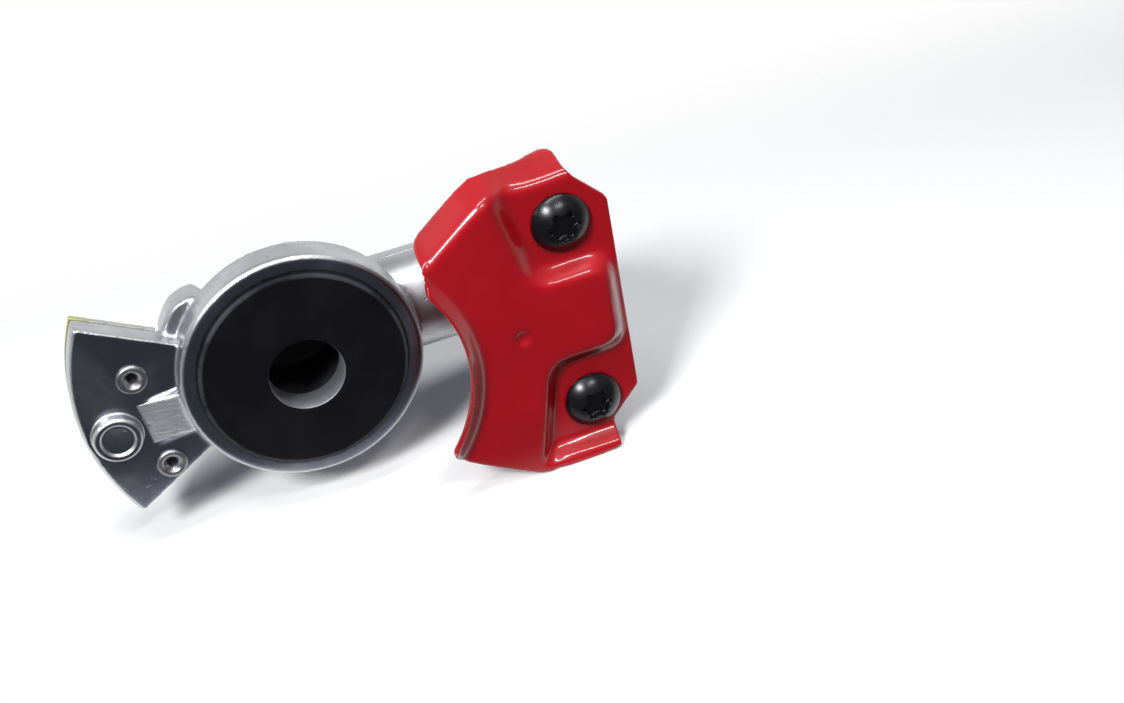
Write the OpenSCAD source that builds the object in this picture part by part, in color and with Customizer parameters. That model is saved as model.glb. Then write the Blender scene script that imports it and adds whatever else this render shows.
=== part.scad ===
// Gladhand air brake coupler: a cast body with a tongue, a rubber face seal with its sleeve,
// a formed hook plate held by two screws, and a riveted wear plate behind the tongue.
// Millimetres, +Z up. The origin is the centre of the coupling face, which looks along -Y.
// +X runs along the neck to the hose port. Each piece is drawn with the coupling face up,
// so heights and depths below are measured from that face, and is then stood upright.

/* [Coupling disc] */
// Diameter of the coupling disc
disc_d = 57; // [53:0.5:62]
// Height of the disc's rim
disc_t = 9; // [8.5:0.5:11]
// Rounding of the rim's front edge
disc_edge = 1.3; // [0.5:0.1:2]
// Width of the bare metal ring round the seal
rim_w = 4.2; // [3.5:0.1:6]

/* [Seal] */
// Depth of the seal's pocket below the coupling face
seal_depth = 6.2; // [5.5:0.1:7]
// Width of the bead that holds the seal under the rim
seal_bead = 1.6; // [0.8:0.1:2]
// Height of that bead
seal_bead_h = 3.2; // [2:0.1:4]
// Height of the seal's face above the rim at its outer edge
seal_rise = 1.2; // [0.6:0.1:2]
// Further rise of the seal's face towards its hole
seal_crown = 2; // [0.5:0.1:3]
// Rounding of the seal's outer edge
seal_edge = 0.9; // [0.4:0.1:1.2]
// Width of the flat ring round the seal's hole
seal_land = 1.2; // [0.6:0.1:2]
// Gap between the seal and the casting
seal_gap = 0.1; // [0.05:0.05:0.3]

/* [Seal sleeve] */
// Bore of the sleeve that lines the seal's hole
sleeve_bore = 17.6; // [14:0.2:19]
// Wall of the sleeve
sleeve_wall = 0.6; // [0.5:0.1:1.2]
// Depth of the sleeve below the coupling face
sleeve_depth = 4.4; // [3:0.1:5]
// Depth of the sleeve's edge below the seal's face
sleeve_inset = 0.4; // [0.2:0.1:0.8]
// Width of the sleeve's edge that the seal's lip leaves bare
sleeve_step = 0.1; // [0.05:0.05:0.3]

/* [Air chamber and neck] */
// Diameter of the round back behind the disc
dome_d = 40; // [36:0.5:46]
// Rounding of that back
dome_round = 13; // [8:0.5:16]
// Diameter of the chamber behind the seal
chamber_d = 26; // [23:0.5:30]
// Diameter of the neck
neck_d = 25; // [22:0.5:28]
// Depth of the neck's axis below the coupling face
neck_drop = 18.6; // [17:0.1:22]
// Length of the taper between the neck and the boss round the port
neck_taper = 6; // [4:0.5:8]
// Diameter of the air passage in the neck
passage_d = 15.5; // [12:0.5:17]
// Metal behind the chamber
dome_wall = 4; // [3:0.5:6]

/* [Hose port] */
// Distance from the seal's axis to the port's face
tail_x = 70; // [67:0.5:80]
// Diameter of the boss round the port
port_boss_d = 30; // [27:0.5:34]
// Length of that boss
port_boss_len = 20; // [18.5:0.5:24]
// Diameter of the port's tapped hole at the crests of its thread
port_bore_d = 18.3; // [15:0.1:21]
// Depth of the tapped hole
port_depth = 17.5; // [14:0.5:18]
// Chamfer of the port's mouth and of the boss
port_chamfer = 1.2; // [0.5:0.1:2]

/* [Tongue] */
// Radius of the tongue's outer edge
tongue_r = 52.4; // [50:0.1:56]
// Depth of the tongue's front below the coupling face
tongue_drop = 3.9; // [3:0.1:5]
// Thickness of the cast tongue
tongue_t = 6; // [5:0.1:7]
// Angle at which the tongue starts
tongue_from = 151.7; // [149:0.1:156]
// Angle that the tongue spans
tongue_span = 58; // [50:0.5:64]
// Chamfer of the tongue's edges
tongue_edge = 0.9; // [0.4:0.1:1.4]
// Angle of the detent line on the tongue
detent_angle = 185.2; // [182:0.1:188]
// Distance from the tongue's edge to the cast boss on its front
boss_inset = 7.4; // [6.6:0.1:9]
// Diameter of that boss
boss_d = 12; // [9:0.5:13]
// Height of that boss
boss_h = 2.8; // [1.5:0.1:4]
// Diameter of the flat recess in its top
boss_recess_d = 8; // [5:0.1:8.6]
// Depth of that recess
boss_recess = 0.8; // [0.3:0.1:1]
// Slanting foot where the boss meets the tongue
boss_foot = 0.8; // [0.3:0.1:1.4]
// Width of the rib between the tongue and the disc
rib_w = 11; // [6:0.5:14]
// Reach of that rib beyond the disc
rib_reach = 9.5; // [6:0.5:11]

/* [Stop lug] */
// Reach of the lug beyond the disc
lug_reach = 3.9; // [2:0.1:5]
// Angle at which the lug starts
lug_from = 130; // [120:1:136]
// Depth of the lug's front below the coupling face
lug_drop = 7.6; // [6:0.1:8.5]
// Thickness of the lug
lug_t = 8; // [5:0.1:9]
// Angle by which the lug runs into the tongue
lug_overlap = 2; // [1:0.5:3]
// Rounding of the lug's nose, seen along the seal's axis
lug_round = 10.6; // [9:0.1:13]
// Angle from the lug's start to the middle of its nose
lug_nose = 18; // [16:0.5:20]
// Depth of the arc that is left on the nose
lug_flat = 0.2; // [0.1:0.1:0.5]

/* [Wear plate and rivets] */
// Thickness of the wear plate
wear_t = 1.5; // [1:0.1:2.5]
// How far the wear plate stands out past the tongue
wear_over = 0.15; // [0:0.05:0.8]
// Width of the wear plate inside the rivets' heads
wear_margin = 1.6; // [0.6:0.1:2]
// Gap between the wear plate and the cast lug
wear_gap = 0.4; // [0.2:0.1:0.8]
// Gap round the detent in the wear plate's hole
detent_gap = 0.8; // [0.4:0.1:1.2]
// Diameter of the rivets' shanks
rivet_d = 4; // [3:0.1:5]
// Diameter of the rivets' heads and rolled ends
rivet_head_d = 7.4; // [6.5:0.1:8]
// Height of the rivets' rolled ends
rivet_head_h = 0.9; // [0.5:0.1:1.4]
// Diameter of the hole down the rivets
rivet_bore = 2.2; // [1.4:0.1:2.6]
// Diameter of the funnel in the rivets' rolled ends
rivet_funnel_d = 4.4; // [3:0.1:5]
// Depth of that funnel
rivet_funnel = 1.6; // [1:0.1:2.4]
// Distance from the tongue's edge to the rivets
rivet_inset = 13.8; // [12:0.1:14.4]
// Angle between the detent line and each rivet
rivet_angle = 18.3; // [15:0.1:20]
// Gap round the rivets' shanks
rivet_gap = 0.1; // [0.05:0.05:0.3]

/* [Hook plate] */
// Thickness of the sheet
plate_t = 2; // [1.6:0.1:2.6]
// Height of the plate's base above the coupling face
plate_level = 13.5; // [12.5:0.1:16]
// Height of the raised channel above the base
emboss_h = 4; // [3:0.1:5]
// Gap between the tongue's edge and the middle of the channel's wall
channel_gap = 2.5; // [2.2:0.1:4]
// Angle at which the channel's straight walls stand to each side
channel_lean = 13; // [8:0.5:18]
// Width over which a formed wall rises
wall_run = 4.4; // [3.6:0.1:5.5]
// Width over which the channel's wall rises beside the stop flange
upper_run = 7.2; // [5:0.1:7.6]
// Distance over which the wall softens to that width
upper_blend = 7; // [5:0.5:10]
// Flat kept on each side of a formed wall
wall_flat = 0.5; // [0.3:0.1:0.8]
// Half width of the bulge between the screws
bulge_half = 11.3; // [9:0.1:12]
// Place of the bulge's middle across the plate
bulge_y = 1.2; // [-1:0.1:1.6]
// Rounding where the bulge meets the channel
bulge_round = 5; // [4:0.5:6]
// Flat between the bulge's wall and the plate's straight outer edge
bulge_edge = 0.3; // [0.2:0.1:0.6]
// Distance from the seal's axis to the plate's straight outer edge
plate_x = 74.6; // [73:0.1:80]
// Distance from the seal's axis to the cut corner beside the stop flange
upper_cut = 71.5; // [70:0.1:76]
// Distance from the seal's axis to the cut corner beside the entry flange
lower_cut = 69.8; // [69:0.1:75]
// Gap between the disc's edge and the lip's free edge, seen along the seal's axis
lip_gap = 5.7; // [4:0.1:7]
// Width of the turned-up lip, seen along the seal's axis
lip_w = 5.2; // [4:0.1:6]
// Rise of the lip for each millimetre of its width
lip_slope = 1.0; // [0.6:0.1:1.3]
// Length of the bend at the lip's foot
lip_bend = 2.2; // [1.2:0.1:3]
// Flat between the lip's foot and the channel's floor
lip_flat = 1; // [0.5:0.1:1.5]
// Distance from the seal's axis to the slanting cut at the lip's closed end
lip_end = 22.5; // [21.5:0.1:23.5]
// Direction that this cut faces
lip_end_facing = -15; // [-18:0.5:-10]
// Angle of the stop flange's fold beside the channel
stop_angle = 36.2; // [34.5:0.1:39]
// Place of the stop flange's fold beside the screw
stop_y = 32.6; // [32:0.1:35]
// Rounding between these two folds, as an angle at the seal's axis
stop_blend = 3; // [1:0.5:5]
// Distance from the stop flange's fold to its free edge, seen along the seal's axis
stop_reach = 5.2; // [4.4:0.1:6.5]
// Drop of the stop flange below the channel's top
stop_drop = 8.4; // [8:0.1:9]
// Drop of the stop flange below the base at its outer end
stop_drop_end = 10.4; // [9.4:0.1:11.4]
// Outside radius of the stop flange's fold
stop_bend = 3; // [2.8:0.1:4]
// Rounding of the stop flange's free corners
stop_corner = 3; // [1:0.1:4]
// Slant of the stop flange's end beside the lip
stop_slant = 4; // [0:0.1:5]
// Step back of the stop flange's end beside the cut corner
stop_back = 1.4; // [0:0.1:4]
// Direction that the open end's edge faces beside the channel
entry_facing = -116.7; // [-122:0.1:-112]
// Distance from the seal's axis to that edge
entry_d = 11.6; // [10:0.1:13]
// Angle of the lip's open end
lip_open_angle = -43.2; // [-46:0.1:-42]
// Rounding of the lip's open end
lip_corner = 3; // [1:0.1:3.5]
// Place of the entry flange's edge
entry_y = 37; // [36.5:0.1:39]
// Width of the turned-up entry flange
entry_w = 5; // [4:0.1:5.2]
// Place of the entry flange's end
entry_x = 67.2; // [64:0.1:69]
// Rounding of the entry flange's free corner
entry_corner = 2.4; // [1:0.1:3]
// Radius of the pressed detent
dimple_r = 2.2; // [1.5:0.1:3]
// Depth of the pressed detent
dimple_h = 0.9; // [0.4:0.1:1.2]
// Distance from the tongue's edge to the detent
detent_inset = 4.2; // [3.8:0.1:5]

/* [Screws] */
// Distance from the channel's wall to the line of the screws
screw_inset = 7.6; // [7.4:0.1:9]
// Distance between the screws
screw_pitch = 47.8; // [47:0.1:49]
// Diameter of the screws
screw_d = 8; // [6:0.5:8.5]
// Diameter of the screws' heads
head_d = 14; // [11:0.1:14.2]
// Height of the screws' heads
head_h = 4.4; // [3:0.1:5]
// Straight edge at the foot of the heads
head_foot = 0.9; // [0.3:0.1:1.2]
// Length of the screws below their heads
screw_len = 12; // [9:0.5:12.5]
// Size of the six-lobed recess from lobe to lobe
recess_d = 7.6; // [5:0.1:8]
// Depth of the recess
recess_h = 2.6; // [1.5:0.1:3]
// Chamfer of the screws' tips
screw_tip = 1; // [0.5:0.1:1.5]
// Gap round the screws in the plate's holes
plate_hole_gap = 0.4; // [0.1:0.1:0.8]
// Gap round the screws in the cast ears
ear_hole_gap = 0.1; // [0.05:0.05:0.2]

/* [Screw ears] */
// Thickness of the cast ears
ear_t = 7; // [5:0.5:9]
// Metal round each screw
ear_wall = 3.5; // [3:0.1:4]
// Gap between the middle of the channel's wall and the ears' hollow
ear_gap = 0.8; // [0.6:0.1:1.4]
// Thickness of the web below the ears
web_t = 9; // [6:0.5:9.5]
// Slope of the web's flanks, drop for each millimetre
web_slope = 0.9; // [0.6:0.1:1.2]
// Height of the web's straight edges
web_edge = 2; // [1:0.1:3]
// How far the web's foot lies inside the boss round the port
web_inset = 1.5; // [1:0.1:3]

/* [Hidden] */
$fn = 72;

// Overlap where a cut runs out of a solid, and where one cast part runs into another
eps = 0.5;
sink = 1;

disc_r = disc_d / 2;
seal_r = disc_r - rim_w;
sleeve_r = sleeve_bore / 2 + sleeve_wall;
seal_top = seal_rise + seal_crown;
sleeve_top = seal_top - sleeve_inset;
chamber_depth = neck_drop + passage_d / 2 + sink;
dome_depth = max(chamber_depth + dome_wall, neck_drop + neck_d / 2 + sink);

tongue_back = -tongue_drop - tongue_t;
wear_back = tongue_back - wear_t;
lug_span = tongue_from + lug_overlap - lug_from;
boss_r = tongue_r - boss_inset;
detent_r = tongue_r - detent_inset;
rivet_r = tongue_r - rivet_inset;
wear_inner_r = rivet_r - rivet_head_d / 2 - wear_margin;

channel_r = tongue_r + wear_over + channel_gap;
bulge_x = plate_x - wall_run / 2 - bulge_edge;
lip_r = disc_r + lip_gap;
lip_fold_r = lip_r + lip_w;
ear_top = plate_level - plate_t;
screw_x = channel_r + screw_inset;
screw_ys = [screw_pitch / 2, -screw_pitch / 2];
ear_r = screw_d / 2 + ear_wall;
ear_inner_r = channel_r + ear_gap;

// Rivet places, one on each side of the detent line
rivet_angles = [detent_angle - rivet_angle, detent_angle + rivet_angle];

// Turns a piece drawn with the coupling face up so that this face looks along -Y
module upright() {
    rotate([90, 0, 0])
        children();
}

// Solid turned about the seal's axis from an outline in radius and height
module turned(from = 0, span = 360) {
    rotate([0, 0, from])
        rotate_extrude(angle = span)
            children();
}

// Rectangle in radius and height, with one rounded corner at its outer top
module rounded_top(r, low, high, round) {
    translate([0, low])
        square([r, high - low - round]);
    translate([0, high - round - eps])
        square([r - round, round + eps]);
    translate([r - round, high - round])
        circle(r = round);
}

// Rectangle in radius and height, with both outer corners cut off
module chamfered_band(inner, outer, low, high, cut) {
    polygon([
        [inner, low],
        [outer - cut, low],
        [outer, low + cut],
        [outer, high - cut],
        [outer - cut, high],
        [inner, high]
    ]);
}

// Round bar along +X on the neck's axis
module along_neck(from, to, r1, r2) {
    translate([from, 0, -neck_drop])
        rotate([0, 90, 0])
            cylinder(h = to - from, r1 = r1, r2 = r2);
}

// Places of the two rivets on the tongue
module at_rivets() {
    for (a = rivet_angles)
        rotate([0, 0, a])
            translate([rivet_r, 0, 0])
                children();
}

// Places of the two screws
module at_screws() {
    for (y = screw_ys)
        translate([screw_x, y, 0])
            children();
}

// Body

module disc_and_dome() {
    dome_r = dome_d / 2;
    turned()
        rounded_top(disc_r, -disc_t, 0, disc_edge);
    turned()
        intersection() {
            translate([0, -dome_depth])
                square([dome_r, dome_depth - disc_t + eps]);
            union() {
                translate([0, -dome_depth])
                    square([dome_r - dome_round, dome_depth]);
                translate([0, -dome_depth + dome_round])
                    square([dome_r, dome_depth - dome_round]);
                translate([dome_r - dome_round, -dome_depth + dome_round])
                    circle(r = dome_round);
            }
        }
}

module neck_and_port() {
    port_start = tail_x - port_boss_len;
    along_neck(0, port_start + eps, neck_d / 2, neck_d / 2);
    along_neck(port_start - neck_taper, port_start, neck_d / 2 - eps, port_boss_d / 2);
    along_neck(port_start, tail_x - port_chamfer, port_boss_d / 2, port_boss_d / 2);
    along_neck(tail_x - port_chamfer, tail_x, port_boss_d / 2, port_boss_d / 2 - port_chamfer);
}

// Flat ears under the hook plate, hollowed to a circle about the seal's axis
module screw_ears() {
    translate([0, 0, ear_top - ear_t])
        linear_extrude(ear_t)
            difference() {
                union() {
                    for (y = screw_ys)
                        translate([screw_x, y])
                            circle(r = ear_r);
                    translate([screw_x - ear_r, -screw_pitch / 2])
                        square([2 * ear_r, screw_pitch]);
                }
                circle(r = ear_inner_r);
            }
}

// Web that carries the ears on the neck, with sloping flanks
module ear_web() {
    half = screw_pitch / 2 + ear_r - eps;
    low = ear_top - ear_t + sink;
    foot = port_boss_d / 2 - web_inset;
    foot_z = low - web_edge - (half - foot) * web_slope;
    translate([ear_inner_r + eps, 0, 0])
        rotate([90, 0, 90])
            linear_extrude(web_t)
                polygon([
                    [-half, low],
                    [half, low],
                    [half, low - web_edge],
                    [foot, foot_z],
                    [foot - web_edge, -neck_drop],
                    [web_edge - foot, -neck_drop],
                    [-foot, foot_z],
                    [-half, low - web_edge]
                ]);
}

module tongue() {
    turned(tongue_from, tongue_span)
        chamfered_band(disc_r - rim_w / 2, tongue_r, tongue_back, -tongue_drop, tongue_edge);
}

// Cast boss on the tongue: a slanting foot, a round rim and a flat recess
module tongue_boss() {
    low = -tongue_drop - sink;
    top = boss_h - tongue_drop;
    outer = boss_d / 2;
    rim = (boss_d - boss_recess_d) / 4;
    rotate([0, 0, detent_angle])
        translate([boss_r, 0, 0])
            rotate_extrude() {
                polygon([
                    [0, low],
                    [outer + boss_foot, low],
                    [outer + boss_foot, -tongue_drop],
                    [outer, boss_foot - tongue_drop],
                    [outer, top - rim],
                    [0, top - rim]
                ]);
                translate([outer - rim, top - rim])
                    circle(r = rim);
                translate([0, low])
                    square([outer - rim, top - boss_recess - low]);
            }
}

// Rib that climbs from the tongue's front to the disc's rim
module tongue_rib() {
    inner = disc_r - rim_w / 2;
    low = -tongue_drop - sink;
    top = -disc_edge - eps / 2;
    rotate([0, 0, detent_angle])
        translate([0, rib_w / 2, 0])
            rotate([90, 0, 0])
                linear_extrude(rib_w)
                    polygon([
                        [inner, low],
                        [disc_r + rib_reach, low],
                        [disc_r + rib_reach, -tongue_drop],
                        [disc_r - eps, top],
                        [inner, top]
                    ]);
}

// Lug with a rounded nose, kept clear of the wear plate
module stop_lug() {
    outer = disc_r + lug_reach;
    low = -lug_drop - lug_t;
    difference() {
        intersection() {
            turned(lug_from, lug_span)
                chamfered_band(dome_d / 2 - 3 * sink, outer, low, -lug_drop, tongue_edge);
            rotate([0, 0, lug_from + lug_nose])
                translate([outer - lug_round + lug_flat, 0, low - eps])
                    cylinder(h = lug_t + 2 * eps, r = lug_round);
        }
        wear_blank(wear_gap);
    }
}

// Pocket that holds the seal, with the groove for its bead
module seal_pocket() {
    mouth = seal_r + seal_gap;
    turned() {
        translate([0, -seal_depth])
            square([mouth, seal_depth + eps]);
        translate([0, -seal_depth])
            square([mouth + seal_bead, seal_bead_h + seal_gap]);
    }
}

module air_way() {
    translate([0, 0, -chamber_depth])
        cylinder(h = chamber_depth, r = chamber_d / 2);
    along_neck(0, tail_x - port_depth + eps, passage_d / 2, passage_d / 2);
    along_neck(tail_x - port_depth, tail_x + eps, port_bore_d / 2, port_bore_d / 2);
    along_neck(tail_x - port_chamfer, tail_x + 0.01, port_bore_d / 2, port_bore_d / 2 + port_chamfer);
}

module body() {
    color("silver")
        upright()
            difference() {
                union() {
                    disc_and_dome();
                    neck_and_port();
                    screw_ears();
                    ear_web();
                    tongue();
                    tongue_boss();
                    tongue_rib();
                    stop_lug();
                }
                seal_pocket();
                air_way();
                at_screws()
                    translate([0, 0, plate_level - screw_len - eps])
                        cylinder(h = screw_len, r = screw_d / 2 + ear_hole_gap);
                at_rivets()
                    translate([0, 0, tongue_back - eps])
                        cylinder(h = tongue_t + 2 * eps, r = rivet_d / 2 + rivet_gap);
            }
}

// Seal

module seal() {
    foot = -seal_depth;
    bead_top = foot + seal_bead_h;
    relief_w = (seal_r - chamber_d / 2) * 0.55;
    relief_h = seal_depth * 0.45;
    color("#1c1c1d")
        upright()
            rotate_extrude()
                difference() {
                    union() {
                        polygon([
                            [sleeve_r, foot],
                            [seal_r + seal_bead, foot],
                            [seal_r + seal_bead, bead_top],
                            [seal_r, bead_top],
                            [seal_r, seal_rise - seal_edge],
                            [seal_r - seal_edge, seal_rise - seal_edge],
                            [seal_r - seal_edge, seal_rise],
                            [sleeve_r + seal_land, seal_top],
                            [sleeve_bore / 2 + sleeve_step, seal_top],
                            [sleeve_bore / 2 + sleeve_step, sleeve_top],
                            [sleeve_r, sleeve_top]
                        ]);
                        translate([seal_r - seal_edge, seal_rise - seal_edge])
                            circle(r = seal_edge);
                    }
                    translate([chamber_d / 2, foot - eps])
                        square([relief_w, relief_h + eps]);
                    translate([0, foot - eps])
                        square([chamber_d / 2 + eps, seal_depth - sleeve_depth + eps]);
                }
}

// Seal sleeve

module seal_sleeve() {
    length = sleeve_depth + sleeve_top;
    color("#b9bcbf")
        upright()
            translate([0, 0, -sleeve_depth])
                difference() {
                    cylinder(h = length, r = sleeve_r);
                    translate([0, 0, -eps])
                        cylinder(h = length + 2 * eps, r = sleeve_bore / 2);
                }
}

// Hook plate: one formed sheet, described by stations along the arc and across it

// Step from 0 to 1 with soft ends, for t from 0 to 1
function soft_step(t) = t <= 0 ? 0 : t >= 1 ? 1 : t * t * (3 - 2 * t);

// Smaller and larger of two lengths, rounded where they cross
function soft_min(a, b, k) = let (h = max(k - abs(a - b), 0) / k) min(a, b) - h * h * k / 4;
function soft_max(a, b, k) = -soft_min(-a, -b, k);

// Radius at an angle of a straight line, from its normal's angle and its distance
function line_r(a, normal, distance) = distance / cos(a - normal);

// Stations across the sheet: the lip, the channel's floor and its wall, then the base
lip_steps = 6;
floor_steps = 5;
wall_steps = 7;
base_steps = 10;
floor_from = lip_steps;
wall_from = floor_from + floor_steps;
base_from = wall_from + wall_steps;
across = base_from + base_steps;

// Stations along the arc from the open end to the fold, then round the fold and down the flange
sheet_steps = 56;
bend_steps = 6;
drop_steps = 6;
along = sheet_steps + bend_steps + drop_steps;

function blend(a, b, t) = a + (b - a) * t;

// Edges of the sheet, as an angle at a radius and as a radius at an angle
function fold_angle(r) = soft_min(stop_angle, asin(min(1, stop_y / r)), stop_blend);
function open_angle(r) = soft_max(
    max(lip_open_angle, entry_facing + acos(entry_d / r)), -asin(min(1, entry_y / r)), 2);
function inner_r(a) = a < 0 ? lip_r : max(lip_r, line_r(a, lip_end_facing, lip_end));
function outer_r(a) = let (
        edge = min(line_r(a, 0, plate_x), line_r(a, 45, upper_cut), line_r(a, -45, lower_cut))
    ) a < 0 ? max(edge, line_r(a, 0, entry_x)) : edge;

// Middle of the channel's wall, and its half width with the flat kept on each side
function wall_r(a) = line_r(abs(a), channel_lean, channel_r);
function run_at(y) = blend(
    wall_run, upper_run, soft_step((y - bulge_y - bulge_half) / upper_blend));
function wall_half(a) = run_at(wall_r(a) * sin(a)) / 2 + wall_flat;

// Angle at which a station's first radius is taken, before its own angle is known
first_angle = 30;

// How far a rounded corner draws an edge in, at a distance from the corner's other edge
function corner_inset(distance, round) = let (short = max(0, round - distance))
    round - sqrt(round * round - short * short);

// Radius of a station across the sheet, between an inner and an outer edge
function station_r(j, a, inner, outer) = let (
        floor_r = lip_fold_r + lip_flat,
        wall = wall_r(a),
        half = wall_half(a)
    ) j <= floor_from ? blend(inner, floor_r, j / lip_steps)
    : j <= wall_from ? blend(floor_r, wall - half, (j - floor_from) / floor_steps)
    : j <= base_from ? blend(wall - half, wall + half, (j - wall_from) / wall_steps)
    : blend(wall + half, outer, (j - base_from) / base_steps);

// Plan position of a station
function plan(i, j) = let (
        r0 = station_r(j, first_angle, lip_r, outer_r(first_angle)),
        low = open_angle(r0),
        a = blend(low, fold_angle(r0), i / sheet_steps),
        from_end = (a - low) * PI / 180,
        inner = inner_r(a) + corner_inset(from_end * lip_r, lip_corner),
        outer = outer_r(a) - corner_inset(from_end * entry_x, entry_corner),
        r = station_r(j, a, inner, outer)
    ) [r * cos(a), r * sin(a)];

// Share of the emboss height at a place, for the sheet's top or, shifted, for its underside
function emboss(p, shift) = let (
        channel = channel_r - p.x * cos(channel_lean) - abs(p.y) * sin(channel_lean),
        bulge = soft_min(bulge_half - abs(p.y - bulge_y), bulge_x - p.x, bulge_round),
        entry = entry_w / 2 - entry_y - p.y,
        inside = soft_max(soft_max(channel, bulge, bulge_round), entry, entry_w / 2)
    ) soft_step(0.5 + (inside - shift) / run_at(p.y));

// Rise of the turned-up lip at a place
function lip_rise(p, shift) = let (t = lip_fold_r - norm(p) - shift)
    t <= 0 ? 0 : lip_slope * (t < lip_bend ? t * t / (2 * lip_bend) : t - lip_bend / 2);

// Shift of the underside that keeps a wall or the lip about as thick as the sheet
function under_shift(slope) = plate_t * tan(atan(slope) / 2);
function wall_shift(y) = under_shift(1.5 * emboss_h / run_at(y));

function top_z(p) = plate_level + emboss_h * emboss(p, 0) + lip_rise(p, 0);
function under_z(p) = ear_top + emboss_h * emboss(p, wall_shift(p.y))
    + lip_rise(p, under_shift(lip_slope));

// Direction of the fold at a station, in plan
function fold_way(j) = let (
        d = plan(sheet_steps, min(j + 1, across)) - plan(sheet_steps, max(j - 1, 0))
    ) d / norm(d);

// Height of the stop flange's free edge, level beside the channel and lower towards its outer end
fold_corner_x = stop_y / tan(stop_angle);
function stop_edge_z(p) = blend(
    plate_level + emboss_h - stop_drop,
    plate_level - stop_drop_end,
    max(0, (p.x - fold_corner_x) / (upper_cut * sqrt(2) - stop_y - fold_corner_x)));

// Point of the stop flange: a share of the way round its fold, then of the straight run to its edge
function flange_point(bend, share, j, under) = let (
        p = plan(sheet_steps, j),
        way = fold_way(j),
        out = [-way.y, way.x],
        top = top_z(p),
        down = top - stop_bend - stop_edge_z(p),
        span = norm([stop_reach, down]),
        fold = asin(stop_bend / span) + atan2(down, stop_reach),
        length = sqrt(span * span - stop_bend * stop_bend),
        turn = fold * bend,
        run = length * share,
        radius = under ? stop_bend - (top - under_z(p)) : stop_bend,
        inset = corner_inset(length - run, stop_corner),
        slant = inset + stop_slant * (bend + share) / 2,
        back = inset + stop_back * sin(turn),
        shift = slant * (1 - j / across) - back * j / across,
        q = p + out * (radius * sin(turn) + run * cos(fold)) + way * shift
    ) [q.x, q.y, top - stop_bend + radius * cos(turn) - run * sin(fold)];

function sheet_point(i, j, under) = i <= sheet_steps
    ? let (p = plan(i, j)) [p.x, p.y, under ? under_z(p) : top_z(p)]
    : i <= sheet_steps + bend_steps
        ? flange_point((i - sheet_steps) / bend_steps, 0, j, under)
        : let (left = (along - i) / drop_steps) flange_point(1, 1 - left * left, j, under);

function quad(a, b, c, d) = [[a, b, c], [a, c, d]];

// Two triangles that share the more level of a quad's diagonals
function level_quad(points, a, b, c, d) =
    abs(points[a].z - points[c].z) > abs(points[b].z - points[d].z)
        ? quad(b, c, d, a)
        : quad(a, b, c, d);

module formed_sheet() {
    row = across + 1;
    half = (along + 1) * row;
    points = [
        for (under = [false, true])
            for (i = [0:along])
                for (j = [0:across])
                    sheet_point(i, j, under)
    ];
    faces = [
        for (i = [0:along - 1])
            for (j = [0:across - 1])
                let (k = i * row + j)
                    each concat(
                        level_quad(points, k, k + row, k + row + 1, k + 1),
                        level_quad(points, half + k, half + k + 1, half + k + row + 1, half + k + row)),
        for (i = [0:along - 1])
            let (k = i * row, m = i * row + across)
                each concat(
                    quad(k, half + k, half + k + row, k + row),
                    quad(m, m + row, half + m + row, half + m)),
        for (j = [0:across - 1])
            let (m = along * row + j)
                each concat(
                    quad(j, j + 1, half + j + 1, half + j),
                    quad(m, half + m, half + m + 1, m + 1))
    ];
    polyhedron(points, faces, convexity = 6);
}

module hook_plate() {
    dimple_ball = (dimple_r * dimple_r + dimple_h * dimple_h) / (2 * dimple_h);
    channel_top = plate_level + emboss_h;
    channel_under = channel_top - plate_t;
    color("#c8202f")
        upright()
            difference() {
                union() {
                    formed_sheet();
                    intersection() {
                        translate([detent_r, 0, channel_under + dimple_ball - dimple_h])
                            sphere(r = dimple_ball);
                        translate([detent_r, 0, channel_under - dimple_h])
                            cylinder(h = dimple_h + plate_t / 4, r = dimple_ball);
                    }
                }
                translate([detent_r, 0, channel_top + dimple_ball - dimple_h])
                    sphere(r = dimple_ball);
                at_screws()
                    translate([0, 0, ear_top - eps])
                        cylinder(h = plate_t + 2 * eps, r = screw_d / 2 + plate_hole_gap);
            }
}

// Hook screws

// Round head with a flat foot and a domed top
module head_outline() {
    rise = head_h - head_foot;
    dome_r = (head_d * head_d / 4 + rise * rise) / (2 * rise);
    intersection() {
        square([head_d / 2, head_h]);
        translate([0, head_h - dome_r])
            circle(r = dome_r, $fn = 120);
    }
}

module six_lobe_recess() {
    lobe = recess_d * 0.115;
    core_d = recess_d * 0.78;
    translate([0, 0, head_h - recess_h])
        linear_extrude(recess_h + eps)
            union() {
                circle(d = core_d);
                for (k = [0:5])
                    rotate([0, 0, 60 * k])
                        translate([recess_d / 2 - lobe, 0])
                            circle(r = lobe);
            }
}

module hook_screws() {
    color("#232326")
        upright()
            at_screws()
                translate([0, 0, plate_level])
                    difference() {
                        union() {
                            rotate_extrude()
                                head_outline();
                            translate([0, 0, screw_tip - screw_len])
                                cylinder(h = screw_len - screw_tip + eps, r = screw_d / 2);
                            translate([0, 0, -screw_len])
                                cylinder(h = screw_tip, r1 = screw_d / 2 - screw_tip, r2 = screw_d / 2);
                        }
                        six_lobe_recess();
                    }
}

// Wear plate

// Sector of the wear plate, or, with a gap, the room that the casting leaves round it
module wear_blank(gap = 0) {
    over = wear_over + gap;
    extra = asin(over / tongue_r);
    inner = wear_inner_r - gap;
    turned(tongue_from - extra, tongue_span + 2 * extra)
        translate([inner, wear_back - gap])
            square([tongue_r + over - inner, wear_t + gap]);
}

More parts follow.
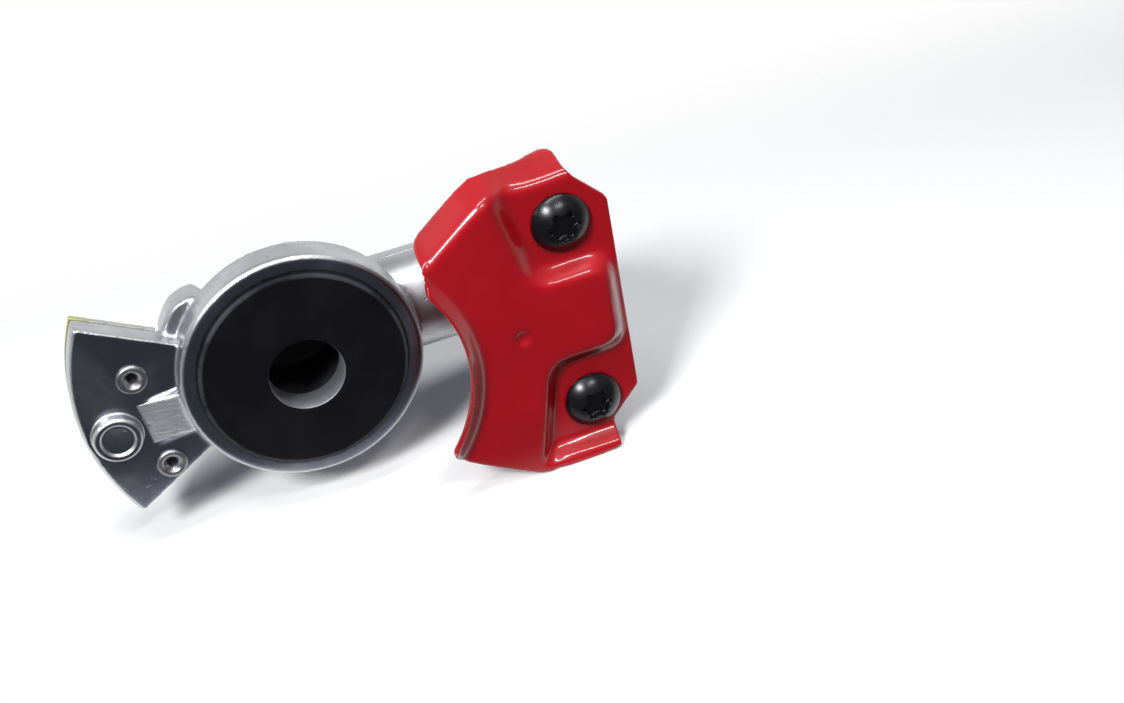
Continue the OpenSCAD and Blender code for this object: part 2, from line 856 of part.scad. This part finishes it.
module wear_plate() {
    color("#c9b558")
        upright()
            difference() {
                wear_blank();
                at_rivets()
                    translate([0, 0, wear_back - eps])
                        cylinder(h = wear_t + 2 * eps, r = rivet_d / 2 + rivet_gap);
                rotate([0, 0, detent_angle])
                    translate([detent_r, 0, wear_back - eps])
                        cylinder(h = wear_t + 2 * eps, r = dimple_r + detent_gap);
            }
}

// Wear rivets: a flat head behind the plate, and on the tongue's front a rolled end with a funnel

module wear_rivets() {
    front = -tongue_drop;
    roll = rivet_head_d / 2 - rivet_head_h;
    mouth = front + rivet_head_h;
    color("#a9abad")
        upright()
            at_rivets()
                rotate_extrude()
                    difference() {
                        union() {
                            translate([0, wear_back - rivet_head_h])
                                square([rivet_head_d / 2, rivet_head_h]);
                            translate([0, wear_back - eps])
                                square([rivet_d / 2, front - wear_back + 2 * eps]);
                            translate([0, front])
                                square([roll, rivet_head_h]);
                            intersection() {
                                translate([roll, front])
                                    circle(r = rivet_head_h);
                                translate([0, front])
                                    square([rivet_head_d, rivet_head_h]);
                            }
                        }
                        translate([0, tongue_back])
                            square([rivet_bore / 2, mouth - tongue_back]);
                        polygon([
                            [0, mouth - rivet_funnel],
                            [rivet_bore / 2, mouth - rivet_funnel],
                            [rivet_funnel_d / 2, mouth],
                            [rivet_funnel_d / 2, mouth + eps],
                            [0, mouth + eps]
                        ]);
                    }
}

body();
seal();
seal_sleeve();
hook_plate();
hook_screws();
wear_plate();
wear_rivets();
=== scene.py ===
import math

import bmesh
import bpy
from mathutils import Matrix, Vector


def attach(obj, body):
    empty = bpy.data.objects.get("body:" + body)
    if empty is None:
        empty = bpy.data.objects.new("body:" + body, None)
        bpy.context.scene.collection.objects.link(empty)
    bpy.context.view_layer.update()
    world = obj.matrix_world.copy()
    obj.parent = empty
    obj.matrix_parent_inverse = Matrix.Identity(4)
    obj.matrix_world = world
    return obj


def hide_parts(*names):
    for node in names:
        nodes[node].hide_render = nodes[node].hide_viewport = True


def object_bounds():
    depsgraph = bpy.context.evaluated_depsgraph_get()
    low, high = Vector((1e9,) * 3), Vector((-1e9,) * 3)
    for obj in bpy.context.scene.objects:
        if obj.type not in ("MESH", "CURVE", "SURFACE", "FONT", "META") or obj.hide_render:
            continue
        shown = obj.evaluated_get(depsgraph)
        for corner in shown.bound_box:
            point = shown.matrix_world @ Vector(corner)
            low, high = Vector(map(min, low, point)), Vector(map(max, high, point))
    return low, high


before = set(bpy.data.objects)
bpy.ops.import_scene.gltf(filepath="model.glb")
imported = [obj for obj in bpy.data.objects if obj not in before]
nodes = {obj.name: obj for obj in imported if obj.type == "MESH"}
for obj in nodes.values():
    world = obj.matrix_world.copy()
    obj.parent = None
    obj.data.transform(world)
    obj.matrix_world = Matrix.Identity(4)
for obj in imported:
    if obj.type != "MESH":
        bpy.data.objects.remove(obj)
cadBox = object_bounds()
scene = bpy.context.scene
scene.view_settings.view_transform = "Standard"
mm = 0.001
mergeGap = 0.002 * mm
foldLimit = 0.22  # faces that meet at less than this angle count as flat
white = (1.0, 1.0, 1.0)


# a socket that takes part in sums, so a pattern reads like a formula
class Sock:
    def __init__(self, tree, out):
        self.tree = tree
        self.out = out

    def math(self, op, a, b=0.0):
        return add(self.tree, "ShaderNodeMath", {"operation": op}, {0: a, 1: b})

    def __add__(self, other):
        return self.math("ADD", self, other)

    def __radd__(self, other):
        return self.math("ADD", other, self)

    def __sub__(self, other):
        return self.math("SUBTRACT", self, other)

    def __rsub__(self, other):
        return self.math("SUBTRACT", other, self)

    def __mul__(self, other):
        return self.math("MULTIPLY", self, other)

    def __rmul__(self, other):
        return self.math("MULTIPLY", other, self)

    def __pow__(self, other):
        return self.math("POWER", self, other)

    def __abs__(self):
        return self.math("ABSOLUTE", self)

    def atLeast(self, other):
        return self.math("MAXIMUM", self, other)

    def atMost(self, other):
        return self.math("MINIMUM", self, other)


# any other node: its type, its settings, its inputs, and the output that is wanted
def add(tree, kind, settings=None, inputs=None, out=0):
    node = tree.nodes.new(kind)
    for key, value in (settings or {}).items():
        setattr(node, key, value)
    for key, value in (inputs or {}).items():
        socket = node.inputs[key]
        if isinstance(value, Sock):
            tree.links.new(value.out, socket)
        elif isinstance(value, (tuple, list)) and socket.type == "RGBA" and len(value) == 3:
            socket.default_value = (*value, 1)
        else:
            socket.default_value = value
    return Sock(tree, node.outputs[out])


# a new material: its tree, its shader and the place on the object
def startMaterial(name, **constants):
    mat = bpy.data.materials.new(name)
    mat.use_nodes = True
    tree = mat.node_tree
    shader = tree.nodes["Principled BSDF"]
    for key, value in constants.items():
        shader.inputs[key.replace("_", " ")].default_value = value
    return mat, tree, shader, add(tree, "ShaderNodeTexCoord", out="Object")


def feed(tree, shader, **links):
    for key, value in links.items():
        tree.links.new(value.out, shader.inputs[key.replace("_", " ")])


def noise(tree, place, scale, detail=3.0, rough=0.55):
    inputs = {"Vector": place, "Scale": scale, "Detail": detail, "Roughness": rough}
    return add(tree, "ShaderNodeTexNoise", {}, inputs, "Fac")


def stretched(tree, place, scale):
    return add(tree, "ShaderNodeMapping", {}, {"Vector": place, "Scale": scale})


def axes(tree, vector):
    split = add(tree, "ShaderNodeSeparateXYZ", {}, {0: vector}).out.node
    return [Sock(tree, split.outputs[i]) for i in range(3)]


def steps(tree, value, low, high):
    return add(tree, "ShaderNodeMapRange", {"interpolation_type": "SMOOTHSTEP"},
               {"Value": value, "From Min": low, "From Max": high}, "Result")


# 1 within a half width of a place, then fading; in mm
def near(tree, value, middle, half, fade):
    return 1 - steps(tree, abs(value - middle * mm), half * mm, (half + fade) * mm)


def mixColour(tree, share, a, b):
    return add(tree, "ShaderNodeMix", {"data_type": "RGBA", "clamp_factor": True}, {0: share, 6: a, 7: b}, 2)


# distance in mm
def bump(tree, height, strength, distance):
    inputs = {"Height": height, "Strength": strength, "Distance": distance * mm}
    return add(tree, "ShaderNodeBump", {}, inputs)


def edgeWear(tree, low, high):
    return steps(tree, add(tree, "ShaderNodeNewGeometry", out="Pointiness"), low, high)


# merged copy of a CAD node
def copyOf(nodeName):
    bm = bmesh.new()
    bm.from_mesh(nodes[nodeName].data)
    bmesh.ops.remove_doubles(bm, verts=bm.verts, dist=mergeGap)
    return bm


# a bmesh as an object of the scene; the bmesh is used up
def asObject(name, bm):
    mesh = bpy.data.meshes.new(name)
    bm.to_mesh(mesh)
    bm.free()
    obj = bpy.data.objects.new(name, mesh)
    scene.collection.objects.link(obj)
    return obj


def newPiece(name, bm, mat, stands=()):
    obj = asObject(name, bm)
    mesh = obj.data
    mesh.materials.append(mat)
    mesh.polygons.foreach_set("use_smooth", [True] * len(mesh.polygons))
    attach(obj, "root")
    if stands:
        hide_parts(*stands)
    print(name, len(mesh.polygons), "faces")


def soften(bm, verts, rounds):
    for _ in range(rounds):
        bmesh.ops.smooth_vert(bm, verts=verts, factor=0.5,
                              use_axis_x=True, use_axis_y=True, use_axis_z=True)


def liesFlat(vert):
    return all(edge.calc_face_angle(0) < foldLimit for edge in vert.link_edges)


# even skin over a CAD node: small voxels, a few rounds that soften its edges,
# then calm rounds that leave the edges alone
def softSkin(nodeName, voxel, rounds, calm=0):
    rough = asObject(nodeName + "Rough", copyOf(nodeName))
    remesh = rough.modifiers.new("skin", "REMESH")
    remesh.mode = "VOXEL"
    remesh.voxel_size = voxel * mm
    skin = bmesh.new()
    skin.from_object(rough, bpy.context.evaluated_depsgraph_get())
    bpy.data.objects.remove(rough)
    soften(skin, skin.verts, rounds)
    if calm:
        soften(skin, [v for v in skin.verts if liesFlat(v)], calm)
    return skin


# outline of radius and depth in mm, turned about a line along Y; depth is behind the coupling face
def turnedAbout(outline, centre=(0.0, 0.0), stepsRound=96):
    bm = bmesh.new()
    verts = [bm.verts.new((centre[0] + r * mm, depth * mm, centre[1])) for r, depth in outline]
    edges = [bm.edges.new(pair) for pair in zip(verts, verts[1:])]
    bmesh.ops.spin(bm, geom=verts + edges, cent=(centre[0], 0, centre[1]), axis=(0, 1, 0), dvec=(0, 0, 0),
                   angle=math.tau, steps=stepsRound, use_merge=True)
    bmesh.ops.remove_doubles(bm, verts=bm.verts, dist=mergeGap)
    bmesh.ops.recalc_face_normals(bm, faces=bm.faces)
    return bm


# points of an arc in the same plane, from one angle to another
def arc(r, depth, radius, start, end, count=5):
    turns = [math.radians(start + (end - start) * i / count) for i in range(count + 1)]
    return [(r + radius * math.cos(t), depth - radius * math.sin(t)) for t in turns]


# a place on the coupling face, from an angle and a reach in mm
def onFace(turn, reach):
    return (math.cos(turn) * reach * mm, math.sin(turn) * reach * mm)


# cast body, lengths in mm
casting = {
    "voxel": 0.56,
    "rounds": 2,
    "tone": (0.60, 0.61, 0.63),
    "dark": (0.40, 0.405, 0.42),
    "bright": (0.80, 0.81, 0.83),
    "front": (0.098, 0.107, 0.15),  # painted dark reflection: front faces coloured as if they showed the dim side of the room
    "scraped": (0.66, 0.66, 0.69),
    "darkening": (0.2, 0.2, 0.21),
    # painted shade: the chamber behind the seal's hole coloured near black
    "inside": (0.07, 0.07, 0.08),
    "detentTurn": math.radians(185.2),
    "padReach": 33.4,
    "padDepth": 2.2,
    "padHalf": (4.6, 5.0, 1.6),  # along the rib, across it, in depth
    "flashRadius": 28.4,
    "flashDepth": 8.9,
    "partingFrom": 22,
    "neckDepth": 18.6,
    "frontEnd": 5.4,
    "chamberRadius": 13.2,
    "chamberMiddle": 16,
    "chamberHalf": 11.5,
    "tongueFront": 3.9,
    "bossReach": 45.0,
    "bossRoom": 7.6,
}
bossCentre = onFace(casting["detentTurn"], casting["bossReach"])


def castAluminium():
    c = casting
    mat, tree, shader, place = startMaterial("castAluminium", Metallic=1.0)
    x, y, z = axes(tree, place)
    radius = (x * x + z * z) ** 0.5
    # mask of the painted dark reflection: faces that look forward, out to the tongue's depth
    facing = axes(tree, add(tree, "ShaderNodeNewGeometry", out="Normal"))[1]
    deeper = steps(tree, y, c["frontEnd"] * mm, (c["frontEnd"] + 1.2) * mm)
    front = steps(tree, facing * -1, 0.86, 0.97) * (1 - deeper * 0.8)
    # machined pad on the rib beside the boss
    wayX = math.cos(c["detentTurn"])
    wayZ = math.sin(c["detentTurn"])
    along, across, deep = c["padHalf"]
    pad = near(tree, x * wayX + z * wayZ, c["padReach"], along, 0.6)
    pad = pad * near(tree, z * wayX - x * wayZ, 0, across, 0.5)
    pad = pad * near(tree, y, c["padDepth"], deep, 0.3)
    # flash round the disc and the mould's parting line on the neck
    wander = noise(tree, place, 180, 3)
    flash = near(tree, radius, c["flashRadius"], 0.5, 0.3)
    flash = flash * near(tree, y + wander * 0.0012, c["flashDepth"], 0.22, 0.2)
    parting = near(tree, y, c["neckDepth"], 0.16, 0.2)
    parting = parting * steps(tree, x, c["partingFrom"] * mm, (c["partingFrom"] + 8) * mm)
    # painted shade inside the chamber behind the seal's hole
    chamberShade = 1 - steps(tree, radius, c["chamberRadius"] * mm, (c["chamberRadius"] + 0.6) * mm)
    chamberShade = chamberShade * near(tree, y, c["chamberMiddle"], c["chamberHalf"], 1)
    # tumbled skin
    stain = noise(tree, place, 55, 4)
    blotch = noise(tree, place, 420, 3)
    grain = noise(tree, place, 1500, 3)
    pits = steps(tree, noise(tree, place, 640, 2, 0.4), 0.66, 0.76)
    scrapes = noise(tree, stretched(tree, place, (260, 260, 1400)), 1.0, 3)
    worn = edgeWear(tree, 0.525, 0.6)
    hollow = 1 - edgeWear(tree, 0.41, 0.49)
    cloud = steps(tree, stain, 0.34, 0.66) * 0.7 + blotch * 0.3
    # darker in concave hollows, in pits and along the flash
    darkMarks = hollow * 0.55 + pits * 0.4 + flash * 0.5 * steps(tree, wander, 0.45, 0.6)
    tone = mixColour(tree, cloud, c["dark"], c["tone"])
    # painted dark reflection on the front faces, patchy with the stain
    tone = mixColour(tree, front * (0.84 - steps(tree, stain, 0.5, 0.72) * 0.22), tone, c["front"])
    tone = mixColour(tree, pad * 0.75, tone, c["scraped"])
    tone = mixColour(tree, darkMarks, tone, c["darkening"])
    tone = mixColour(tree, worn * 0.85, tone, c["bright"])
    # painted shade over the chamber's walls
    tone = mixColour(tree, chamberShade * 0.9, tone, c["inside"])
    rough = 0.33 + stain * 0.1 - front * 0.1 - worn * 0.08 + pad * 0.16 + grain * 0.04 + chamberShade * 0.3
    height = blotch * 0.5 + grain * 0.12 - pits * 0.5 + pad * scrapes * 2.6 + flash * 1.6 + parting * 2.2
    feed(tree, shader, Base_Color=tone, Roughness=rough, Normal=bump(tree, height, 0.75, 0.1))
    return mat


# the boss is turned as a piece of its own, so its place on the tongue is levelled first
def levelUnderBoss(bm):
    level = casting["tongueFront"] * mm
    room = casting["bossRoom"] * mm
    for v in bm.verts:
        if v.co.y < level and math.hypot(v.co.x - bossCentre[0], v.co.z - bossCentre[1]) < room:
            v.co.y = level
    return bm


castMetal = castAluminium()
bodySkin = softSkin("body", casting["voxel"], casting["rounds"])
newPiece("castBody", levelUnderBoss(bodySkin), castMetal, ["body"])


# boss on the tongue: filleted foot, round rim, flat recess; in mm
boss = {
    "radius": 5.7,
    "rim": 1.1,
    "recess": 0.8,
    "recessRadius": 3.0,
    "height": 2.8,
    "foot": 0.45,
    "root": 0.4,
    "stepsRound": 72,
}


def bossOutline():
    b = boss
    base = casting["tongueFront"]
    top = base - b["height"]
    floor = top + b["recess"]
    edge = b["radius"] + b["foot"]
    outline = [(0, base + b["root"]), (edge, base + b["root"]), (edge, base + 0.05)]
    for i in range(1, 5):
        turn = math.radians(22.5 * i)
        footRadius = b["radius"] + b["foot"] * (1 - math.sin(turn))
        outline.append((footRadius, base - b["foot"] * (1 - math.cos(turn))))
    outline += arc(b["radius"] - b["rim"], top + b["rim"], b["rim"], 0, 165, 9)
    return outline + [(b["recessRadius"] + 0.35, floor - 0.12), (b["recessRadius"], floor), (0, floor)]


bossShape = turnedAbout(bossOutline(), bossCentre, boss["stepsRound"])
newPiece("tongueBoss", bossShape, castMetal)


# thread in the hose port, a ridge that climbs along the bore; in mm
thread = {"pitch": 1.814, "turns": 8, "root": 9.3, "crest": 8.6, "start": 53.4, "stepsRound": 40}


def portThread():
    t = thread
    bm = bmesh.new()
    axisDepth = casting["neckDepth"] * mm
    shape = [(0.0, t["root"]), (0.55, t["crest"]), (0.85, t["crest"]), (1.4, t["root"])]
    verts = [bm.verts.new(((t["start"] + run) * mm, axisDepth, r * mm)) for run, r in shape]
    edges = [bm.edges.new((verts[i], verts[(i + 1) % 4])) for i in range(4)]
    first = bm.faces.new(verts)
    count = t["turns"] * t["stepsRound"]
    climb = t["pitch"] * t["turns"] / count * mm
    bmesh.ops.spin(bm, geom=[first] + edges + verts, cent=(0, axisDepth, 0), axis=(1, 0, 0),
                   dvec=(climb, 0, 0), angle=math.tau * t["turns"], steps=count)
    bmesh.ops.recalc_face_normals(bm, faces=bm.faces)
    return bm


newPiece("portThread", portThread(), castMetal)


# rubber seal
rubber = {
    "tone": (0.0025, 0.0025, 0.004),
    "dusty": (0.009, 0.009, 0.013),
    "edge": (0.07, 0.072, 0.08),
    "wornRadius": 24.0,
    "stepsRound": 160,
}


def sealRubber():
    mat, tree, shader, place = startMaterial("sealRubber", Specular_IOR_Level=0.1)
    x, _, z = axes(tree, place)
    radius = (x * x + z * z) ** 0.5
    cloud = noise(tree, place, 60, 4)
    grain = noise(tree, place, 1700, 2)
    specks = steps(tree, noise(tree, place, 800, 1, 0.3), 0.7, 0.78)
    rings = noise(tree, add(tree, "ShaderNodeCombineXYZ", {}, {0: radius * 900}), 1.0, 2)
    worn = near(tree, radius, rubber["wornRadius"], 0.25, 0.4) * steps(tree, cloud, 0.3, 0.6)
    dust = steps(tree, cloud, 0.4, 0.75) * 0.6 + specks * 0.3
    tone = mixColour(tree, dust, rubber["tone"], rubber["dusty"])
    tone = mixColour(tree, worn * 0.6, tone, rubber["edge"])
    height = grain * 0.4 + rings * 0.3 + cloud
    feed(tree, shader, Base_Color=tone, Roughness=0.58 + cloud * 0.16, Normal=bump(tree, height, 0.25, 0.05))
    return mat


# hole, crown, round outer edge, bead and back
def sealOutline():
    hole = [(9.4, 4.4), (9.4, -2.8), (8.9, -2.8), (8.9, -3.0)]
    crown = [(9.0, -3.15), (9.2, -3.2), (10.6, -3.18), (23.3, -1.2)]
    edge = arc(23.65, -0.3, 0.9, 90, 0, 6)
    bead = [(24.55, 3.0), (25.9, 3.0), (25.9, 6.2), (19.2, 6.2)]
    back = [(19.2, 3.4), (13.0, 3.4), (13.0, 4.4), (9.4, 4.4)]
    return hole + crown + edge + bead + back


sealShape = turnedAbout(sealOutline(), stepsRound=rubber["stepsRound"])
newPiece("faceSeal", sealShape, sealRubber(), ["seal"])


# sleeve in the seal's hole, lengths in mm
sleeve = {
    "bore": 8.8,
    "outer": 9.4,
    "front": -2.8,
    "back": 4.4,
    "roll": 0.12,
    "dark": (0.22, 0.228, 0.25),
    "light": (0.38, 0.388, 0.415),
}


def sleeveMetal():
    mat, tree, shader, place = startMaterial("sleeveMetal", Metallic=0.8)
    cloud = noise(tree, place, 170, 3)
    lines = noise(tree, stretched(tree, place, (60, 900, 60)), 1.0, 2)
    tone = mixColour(tree, cloud, sleeve["dark"], sleeve["light"])
    feed(tree, shader, Base_Color=tone, Roughness=0.42 + lines * 0.2, Normal=bump(tree, lines, 0.2, 0.03))
    return mat


def sleeveOutline():
    bore = sleeve["bore"]
    outer = sleeve["outer"]
    front = sleeve["front"]
    back = sleeve["back"]
    roll = sleeve["roll"]
    inside = [(bore, back - roll), (bore, front + roll), (bore + roll, front), (outer, front)]
    return inside + [(outer, back - roll), (outer - roll, back), (bore + roll, back), (bore, back - roll)]


newPiece("sealSleeve", turnedAbout(sleeveOutline()), sleeveMetal(), ["seal_sleeve"])


# red hook plate
hook = {
    "voxel": 0.32,
    "rounds": 6,
    "calm": 5,
    "red": (0.37, 0.0018, 0.008),
    "deep": (0.31, 0.0013, 0.0055),
    # painted highlight: lighter red for the sharp edges and bends
    "edge": (0.64, 0.012, 0.02),
    "chip": (0.16, 0.006, 0.01),
}


def redPaint():
    mat, tree, shader, place = startMaterial("redPaint", Coat_Weight=0.75, Coat_Roughness=0.04,
                                             Specular_IOR_Level=0.3)
    cloud = noise(tree, place, 45, 3)
    peel = noise(tree, place, 330, 2, 0.45)
    dust = steps(tree, noise(tree, place, 900, 1, 0.3), 0.76, 0.8)
    chips = steps(tree, noise(tree, place, 240, 1, 0.3), 0.8, 0.815)
    worn = edgeWear(tree, 0.56, 0.68)
    tone = mixColour(tree, steps(tree, cloud, 0.3, 0.7), hook["deep"], hook["red"])
    # painted highlight: lighter red along sharp edges
    tone = mixColour(tree, worn * 0.35, tone, hook["edge"])
    tone = mixColour(tree, chips * 0.7 + dust * 0.25, tone, hook["chip"])
    height = peel + cloud * 1.5 - chips * 2
    feed(tree, shader, Base_Color=tone, Roughness=0.26 + cloud * 0.08, Normal=bump(tree, height, 0.12, 0.08))
    return mat


plateSkin = softSkin("hook_plate", hook["voxel"], hook["rounds"], hook["calm"])
newPiece("hookPlate", plateSkin, redPaint(), ["hook_plate"])


# black screws
screws = {
    "voxel": 0.165,
    "rounds": 3,
    "calm": 3,
    "dark": (0.002, 0.002, 0.003),
    "light": (0.005, 0.005, 0.007),
    "edge": (0.03, 0.03, 0.033),
}


def blackOxide():
    mat, tree, shader, place = startMaterial("blackOxide", Specular_IOR_Level=0.4)
    cloud = noise(tree, place, 300, 3)
    grain = noise(tree, place, 2400, 2)
    worn = edgeWear(tree, 0.56, 0.68)
    tone = mixColour(tree, cloud, screws["dark"], screws["light"])
    tone = mixColour(tree, worn * 0.2, tone, screws["edge"])
    feed(tree, shader, Base_Color=tone, Roughness=0.2 + cloud * 0.12, Normal=bump(tree, grain, 0.15, 0.02))
    return mat


screwSkin = softSkin("hook_screws", screws["voxel"], screws["rounds"], screws["calm"])
newPiece("hookScrews", screwSkin, blackOxide(), ["hook_screws"])


# wear plate behind the tongue, grey zinc with a yellow tint towards its upper corner
zinc = {
    "voxel": 0.3,
    "rounds": 1,
    "dark": (0.36, 0.36, 0.34),
    "light": (0.56, 0.56, 0.53),
    "yellow": (0.5, 0.52, 0.16),
    "yellowFrom": 64,
    "yellowFull": 75,
}


def yellowZinc():
    mat, tree, shader, place = startMaterial("yellowZinc", Metallic=0.9)
    x, _, z = axes(tree, place)
    cloud = noise(tree, place, 120, 3)
    corner = steps(tree, z - x + cloud * 0.008, zinc["yellowFrom"] * mm, zinc["yellowFull"] * mm)
    tone = mixColour(tree, cloud, zinc["dark"], zinc["light"])
    tone = mixColour(tree, corner * 0.9, tone, zinc["yellow"])
    feed(tree, shader, Base_Color=tone, Roughness=0.3 + cloud * 0.2, Normal=bump(tree, cloud, 0.2, 0.04))
    return mat


wearSkin = softSkin("wear_plate", zinc["voxel"], zinc["rounds"])
newPiece("wearPlate", wearSkin, yellowZinc(), ["wear_plate"])


# hollow rivets: flat head behind, rolled end with a funnel in front; lengths in mm
rivet = {
    "reach": 38.6,
    "spread": math.radians(18.3),
    "head": 3.7,
    "shank": 2.0,
    "bore": 1.1,
    "rollTop": 3.0,
    "rollFoot": 3.9,
    "boreEnd": 9.9,
    "headFront": 11.4,
    "headBack": 12.3,
    "headEdge": 0.15,
    "stepsRound": 48,
    "dark": (0.2, 0.2, 0.21),
    "light": (0.36, 0.36, 0.37),
    "edge": (0.66, 0.66, 0.65),
}


def rivetSteel():
    mat, tree, shader, place = startMaterial("rivetSteel", Metallic=1.0)
    cloud = noise(tree, place, 500, 3)
    worn = edgeWear(tree, 0.52, 0.62)
    tone = mixColour(tree, cloud, rivet["dark"], rivet["light"])
    tone = mixColour(tree, worn * 0.45, tone, rivet["edge"])
    feed(tree, shader, Base_Color=tone, Roughness=0.3 + cloud * 0.15, Normal=bump(tree, cloud, 0.3, 0.04))
    return mat


def rivetOutline():
    k = rivet
    bore = [(0, k["boreEnd"]), (k["bore"], k["boreEnd"])]
    funnel = [(k["bore"], 4.7), (1.2, 4.45), (1.5, 4.0), (1.85, 3.55), (2.15, 3.2)]
    roll = [(2.4, 3.06), (2.7, k["rollTop"])] + arc(2.8, k["rollFoot"], 0.9, 84, 0, 6)
    shank = [(k["shank"], k["rollFoot"]), (k["shank"], k["headFront"])]
    head = [(k["head"], k["headFront"]), (k["head"], k["headBack"] - k["headEdge"]),
            (k["head"] - k["headEdge"], k["headBack"]), (0, k["headBack"])]
    return bore + funnel + roll + shank + head


def bothRivets():
    bm = bmesh.new()
    for side in (-1, 1):
        centre = onFace(casting["detentTurn"] + side * rivet["spread"], rivet["reach"])
        one = turnedAbout(rivetOutline(), centre, rivet["stepsRound"])
        part = bpy.data.meshes.new("oneRivet")
        one.to_mesh(part)
        one.free()
        bm.from_mesh(part)
        bpy.data.meshes.remove(part)
    return bm


newPiece("wearRivets", bothRivets(), rivetSteel(), ["wear_rivets"])


# floor and room, lengths in m
studio = {
    "floor": 0.86,
    "floorMiddle": 0.45,
    "floorHalf": (0.9, 0.5),
    "fadeFront": (-0.032, -0.01),
    "fadeBack": (0.07, 0.2),
    "dim": (0.13, 0.1326, 0.1456),
    "ceiling": 0.25,
    "backdrop": (0.68, 0.68, 0.7),
    "fillDim": (0.03, 0.032, 0.038),
    "fillBright": (0.14, 0.156, 0.195),
}


# pale floor that fades out in front of the part and behind it
def paleFloor():
    s = studio
    bm = bmesh.new()
    bmesh.ops.create_grid(bm, x_segments=1, y_segments=1, size=1.0)
    spread = Matrix.Diagonal((*s["floorHalf"], 1, 1))
    place = Matrix.Translation((0, s["floorMiddle"], cadBox[0].z))
    bmesh.ops.transform(bm, matrix=place @ spread, verts=bm.verts)
    obj = asObject("floor", bm)
    mat, tree, shader, spot = startMaterial("floorPaper", Roughness=0.9, Specular_IOR_Level=0.1)
    tone = mixColour(tree, noise(tree, spot, 6, 2), (s["floor"],) * 3, (s["floor"] * 0.98,) * 3)
    feed(tree, shader, Base_Color=tone)
    depth = axes(tree, spot)[1]
    here = steps(tree, depth, *s["fadeFront"]) * (1 - steps(tree, depth, *s["fadeBack"]))
    clear = add(tree, "ShaderNodeBsdfTransparent")
    mixed = add(tree, "ShaderNodeMixShader", {}, {0: here, 1: clear, 2: Sock(tree, shader.outputs[0])})
    tree.links.new(mixed.out, tree.nodes["Material Output"].inputs["Surface"])
    obj.data.materials.append(mat)


# white sweep behind the part, pale ceiling, dim room behind the camera;
# weaker where it only fills the shadows, and a pale backdrop for the camera itself
def roomLight():
    s = studio
    world = bpy.data.worlds.new("room")
    scene.world = world
    world.use_nodes = True
    tree = world.node_tree
    _, behind, over = axes(tree, add(tree, "ShaderNodeTexCoord", out="Generated"))
    sweep = steps(tree, behind, -0.3, 0.12) * (1 - steps(tree, over, 0.55, 0.85) * 0.6)
    bright = sweep.atLeast(steps(tree, over, 0.02, 0.6) * s["ceiling"])
    shown = mixColour(tree, bright, s["dim"], white)
    filling = mixColour(tree, bright, s["fillDim"], s["fillBright"])
    backdrop = mixColour(tree, bright, s["backdrop"], white)
    kinds = ("Is Camera Ray", "Is Glossy Ray", "Is Transmission Ray", "Diffuse Depth")
    camera, glossy, through, softened = [add(tree, "ShaderNodeLightPath", out=kind) for kind in kinds]
    seen = (camera + glossy + through) * (1 - softened.atMost(1.0))
    tone = mixColour(tree, seen, filling, shown)
    tone = mixColour(tree, camera, tone, backdrop)
    tree.links.new(tone.out, tree.nodes["Background"].inputs["Color"])


# main light, a strip overhead for the long folds, and a small one for the glints on the steps
lamps = {
    "key": {"place": (-0.42, -0.58, 0.62), "target": (0, 0, 0), "size": (0.22, 0.22), "power": 10.4},
    "strip": {"place": (0.06, -0.13, 0.55), "target": (0.01, 0, 0), "size": (0.5, 0.075), "power": 1.9},
    "glint": {"place": (0.21, -0.59, 0.65), "target": (0.03, 0, 0), "size": (0.3, 0.06), "power": 2.0},
}


def lamp(name, place, target, size, power):
    data = bpy.data.lights.new(name, "AREA")
    data.shape = "RECTANGLE"
    data.size = size[0]
    data.size_y = size[1]
    data.energy = power
    obj = bpy.data.objects.new(name, data)
    scene.collection.objects.link(obj)
    obj.location = place
    obj.rotation_euler = (Vector(target) - Vector(place)).to_track_quat("-Z", "Y").to_euler()


# the photograph's camera: its place, and its axes in the frame
view = {
    "sensor": 36.0,
    "lens": 49.8756,
    "place": (-0.0156506, -0.3178811, 0.1784568),
    "right": (0.931585, -0.324548, -0.163764),
    "up": (0.30325, 0.44537, 0.842428),
    "back": (-0.200473, -0.834454, 0.513319),
}


def photoCamera():
    data = bpy.data.cameras.new("photoCamera")
    data.sensor_fit = "HORIZONTAL"
    data.sensor_width = view["sensor"]
    data.lens = view["lens"]
    data.clip_start = 0.01
    data.clip_end = 20
    obj = bpy.data.objects.new("photoCamera", data)
    scene.collection.objects.link(obj)
    turn = Matrix((view["right"], view["up"], view["back"])).transposed().to_4x4()
    obj.matrix_world = Matrix.Translation(view["place"]) @ turn
    scene.camera = obj


paleFloor()
roomLight()
for name, setting in lamps.items():
    lamp(name, **setting)
photoCamera()
print("studio set")
